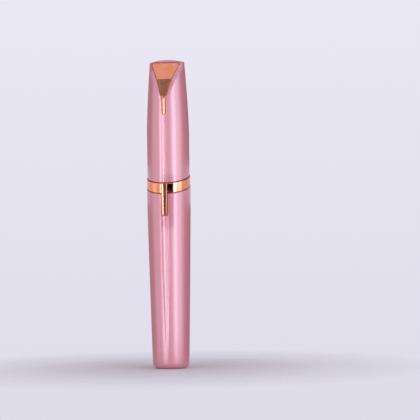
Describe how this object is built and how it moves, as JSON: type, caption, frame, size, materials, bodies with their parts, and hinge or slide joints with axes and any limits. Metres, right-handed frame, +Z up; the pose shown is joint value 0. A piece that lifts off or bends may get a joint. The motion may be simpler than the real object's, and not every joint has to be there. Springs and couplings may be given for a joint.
{
  "type": "electric eyebrow trimmer",
  "caption": "Pen-shaped electric eyebrow trimmer with pull-off cap, slanted metal collar with slide switch, lift-off slotted head, rotary cutter and pull-off battery cover.",
  "frame": {"origin": "centre of the flat base that the pen stands on, on the pen's axis", "axes": "+Z up the pen's axis towards the cap, -Y towards the front with the switch pointer and the cap's insert, +X to the right as seen from the front"},
  "size_m": [0.0188, 0.0199, 0.1325],
  "materials": {
    "rose_lacquer": "pearl rose metallic lacquer, satin gloss, over moulded ABS",
    "rose_gold": "polished rose gold plate",
    "pale_rose_abs": "moulded ABS in the casing's colour, unlacquered",
    "white_abs": "plain moulded ABS",
    "black_acetal": "moulded acetal",
    "resistor_body": "glazed ceramic chip",
    "silicone": "moulded silicone rubber",
    "clear_lens": "clear moulded acrylic",
    "led_resin": "cast epoxy",
    "wire_insulation": "extruded PVC",
    "nickel_plate": "nickel plate",
    "spring_brass": "rolled spring brass",
    "cell_wrap": "shrunk foil sleeve, bare of print",
    "board_laminate": "glass epoxy laminate",
    "zinc_steel": "drawn and zinc-plated steel",
    "sintered_bronze": "oil-filled sintered bronze",
    "ferrite": "pressed ferrite",
    "enamelled_copper": "laminated core with enamelled copper winding",
    "blade_steel": "ground stainless steel"
  },
  "bodies": {
    "core": {"neck_housing": "pale_rose_abs", "collar_ring": "rose_gold", "neck_seal_ring": "silicone", "light_lens": "clear_lens", "led": "led_resin", "led_lead_inner": "wire_insulation", "led_lead_outer": "wire_insulation", "detent_spring": "nickel_plate", "battery_cradle": "white_abs", "battery_cell": "cell_wrap", "battery_spring": "nickel_plate", "negative_strip": "nickel_plate", "positive_contact": "nickel_plate", "circuit_board": "board_laminate", "board_driver": "black_acetal", "board_resistor": "resistor_body", "motor_can": "zinc_steel", "motor_end_cap": "white_abs", "motor_bush": "sintered_bronze", "motor_magnet_front": "ferrite", "motor_magnet_rear": "ferrite", "motor_terminal_left": "nickel_plate", "motor_terminal_right": "nickel_plate", "motor_lead_left": "wire_insulation", "motor_lead_right": "wire_insulation"},
    "cover": {"body_cover": "rose_lacquer"},
    "cap": {"cap_shell": "rose_lacquer", "cap_insert": "rose_gold", "cap_liner": "white_abs"},
    "switch": {"switch_slider": "rose_gold", "switch_carriage": "black_acetal", "contact_wiper": "spring_brass"},
    "rotor": {"motor_armature": "enamelled_copper", "motor_shaft": "blade_steel", "drive_coupling": "black_acetal"},
    "head": {"head_base": "rose_gold", "head_bush": "sintered_bronze", "head_guard": "rose_gold"},
    "cutter": {"blade_carrier": "black_acetal", "cutter_blades": "blade_steel"}
  },
  "joints": [
    {"name": "cap_pull", "type": "slide", "parent": "core", "child": "cap", "axis": [0, 0, 1], "range_m": [0, 0.056]},
    {"name": "cover_pull", "type": "slide", "parent": "core", "child": "cover", "axis": [0, 0, -1], "range_m": [0, 0.082]},
    {"name": "switch_slide", "type": "hinge", "parent": "core", "child": "switch", "pos_m": [0, 0, 0.08], "axis": [0, 0, 1], "range_deg": [0, 14]},
    {"name": "motor_spin", "type": "hinge", "parent": "core", "child": "rotor", "pos_m": [0, 0, 0.0735], "axis": [0, 0, 1], "continuous": true},
    {"name": "head_pull", "type": "slide", "parent": "core", "child": "head", "axis": [0, 0, 1], "range_m": [0, 0.0052]},
    {"name": "cutter_spin", "type": "hinge", "parent": "head", "child": "cutter", "pos_m": [0, 0, 0.1033], "axis": [0, 0, 1], "continuous": true}
  ],
  "couplings": [
    {"joint": "cutter_spin", "follows": "motor_spin", "ratio": 1}
  ]
}
